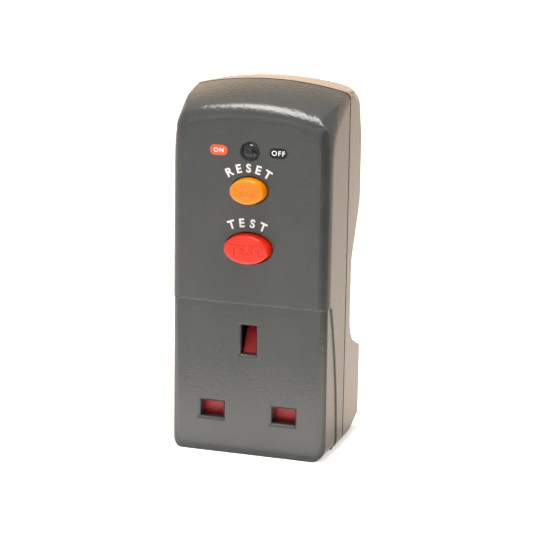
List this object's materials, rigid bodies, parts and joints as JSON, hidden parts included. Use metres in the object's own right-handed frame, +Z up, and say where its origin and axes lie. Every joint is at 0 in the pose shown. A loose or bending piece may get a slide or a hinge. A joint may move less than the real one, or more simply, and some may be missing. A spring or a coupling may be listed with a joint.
{
  "type": "rcd adapter plug",
  "caption": "Plug-in residual current adaptor: two-part case with a shuttered socket outlet, plug pins, TEST and RESET push buttons and a contact indicator window.",
  "frame": {"origin": "midway between the line and neutral pins, on the seat that meets the wall socket", "axes": "+Z up towards the top of the case, +Y into the wall along the pins, +X to the right seen from the front"},
  "size_m": [0.0482, 0.0663, 0.1099],
  "materials": {
    "case_plastic": "dark grey ABS with a fine spark texture",
    "zinc_steel": "zinc-plated steel",
    "clear_lens": "clear polycarbonate",
    "red_button": "satin red ABS",
    "orange_button": "satin orange ABS",
    "spring_steel": "drawn spring wire",
    "copper_strip": "rolled copper alloy strip",
    "red_shutter": "red acetal",
    "cream_moulding": "cream moulded nylon",
    "dark_moulding": "dark brown thermoset",
    "brass": "machined brass",
    "black_plastic": "black moulded nylon",
    "orange_band": "printed orange",
    "brown_insulation": "brown PVC",
    "blue_insulation": "blue PVC",
    "ferrite": "sintered ferrite",
    "enamelled_copper": "enamelled copper wire",
    "circuit_laminate": "green solder resist",
    "bright_steel": "pressed steel",
    "chip_resin": "moulded resin",
    "capacitor_can": "shrink sleeve",
    "varistor_coat": "dipped resin",
    "resistor_coat": "lacquered ceramic"
  },
  "bodies": {
    "case": {"front_cover": "case_plastic", "rear_cover": "case_plastic", "case_screws": "zinc_steel", "frame_screws": "zinc_steel", "indicator_lens": "clear_lens", "test_spring": "spring_steel", "reset_spring": "spring_steel", "shutter_spring": "spring_steel", "contact_springs": "spring_steel", "plunger_spring": "spring_steel", "test_leaf": "copper_strip", "supply_contacts": "copper_strip", "load_contacts": "copper_strip", "socket_base": "dark_moulding", "pin_carrier": "dark_moulding", "mechanism_frame": "cream_moulding", "coil_bobbin": "cream_moulding", "earth_contact": "brass", "line_contact": "brass", "neutral_contact": "brass", "earth_pin": "brass", "line_pin": "brass", "neutral_pin": "brass", "line_pin_sleeve": "black_plastic", "neutral_pin_sleeve": "black_plastic", "line_supply_wire": "brown_insulation", "line_load_wire": "brown_insulation", "neutral_supply_wire": "blue_insulation", "neutral_load_wire": "blue_insulation", "transformer_core": "ferrite", "transformer_winding": "enamelled_copper", "coil_winding": "enamelled_copper", "circuit_board": "circuit_laminate", "coil_yoke": "bright_steel", "control_chip": "chip_resin", "capacitor": "capacitor_can", "varistor": "varistor_coat", "resistors": "resistor_coat", "diodes": "chip_resin"},
    "test_button": {"test_button": "red_button"},
    "reset_button": {"reset_button": "orange_button"},
    "shutter": {"shutter": "red_shutter"},
    "carriage": {"contact_carriage": "cream_moulding", "moving_contacts": "copper_strip"},
    "drum": {"indicator_drum": "black_plastic", "indicator_band": "orange_band"},
    "plunger": {"trip_plunger": "bright_steel", "latch_plate": "bright_steel"}
  },
  "joints": [
    {"name": "test_press", "type": "slide", "parent": "case", "child": "test_button", "axis": [0, 1, 0], "range_m": [0, 0.002], "stiffness_N_per_m": 600, "springref_m": -0.002, "deforming": ["test_spring"]},
    {"name": "reset_press", "type": "slide", "parent": "case", "child": "reset_button", "axis": [0, 1, 0], "range_m": [0, 0.003], "stiffness_N_per_m": 600, "springref_m": -0.002, "deforming": ["reset_spring"]},
    {"name": "shutter_drop", "type": "slide", "parent": "case", "child": "shutter", "axis": [0, 0, -1], "range_m": [0, 0.007], "stiffness_N_per_m": 80, "springref_m": -0.004, "deforming": ["shutter_spring"]},
    {"name": "contact_close", "type": "slide", "parent": "case", "child": "carriage", "axis": [0, -1, 0], "range_m": [0, 0.0025], "stiffness_N_per_m": 300, "springref_m": -0.001, "deforming": ["contact_springs"]},
    {"name": "drum_turn", "type": "hinge", "parent": "case", "child": "drum", "pos_m": [0, -0.0318, 0.0788], "axis": [1, 0, 0], "range_deg": [0, 76]},
    {"name": "trip_pull", "type": "slide", "parent": "case", "child": "plunger", "axis": [0, 0, 1], "range_m": [0, 0.0025], "stiffness_N_per_m": 150, "springref_m": -0.001, "deforming": ["plunger_spring"]}
  ],
  "couplings": [
    {"joint": "drum_turn", "follows": "contact_close", "rad_per_m": 523.6}
  ]
}
